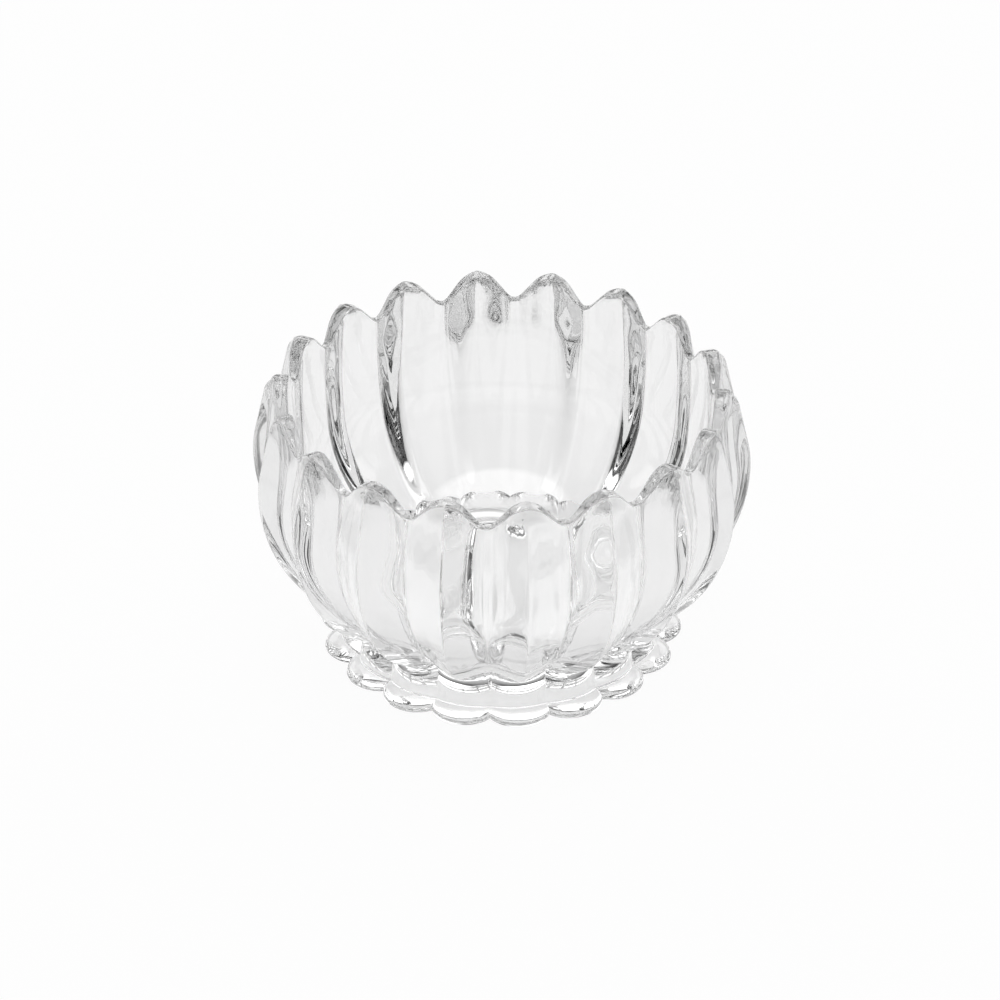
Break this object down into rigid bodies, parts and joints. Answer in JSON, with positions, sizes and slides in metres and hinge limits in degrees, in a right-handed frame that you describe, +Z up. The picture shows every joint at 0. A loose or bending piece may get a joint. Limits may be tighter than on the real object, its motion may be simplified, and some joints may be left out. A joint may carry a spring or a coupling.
{
  "type": "floating candle bowl",
  "caption": "Footed bowl of clear pressed glass for floating candles: keeled lotus petals with a scalloped rim round an open cup, on a collared foot with rounded toes.",
  "frame": {"origin": "centre of the foot's standing ring, on the table", "axes": "+Z up along the bowl's axis, +X through the keel of one petal"},
  "size_m": [0.154, 0.1516, 0.088],
  "materials": {
    "clear_glass": "colourless, fire-polished, high gloss"
  },
  "bodies": {
    "root": {"bowl": "clear_glass", "foot": "clear_glass"}
  },
  "joints": []
}
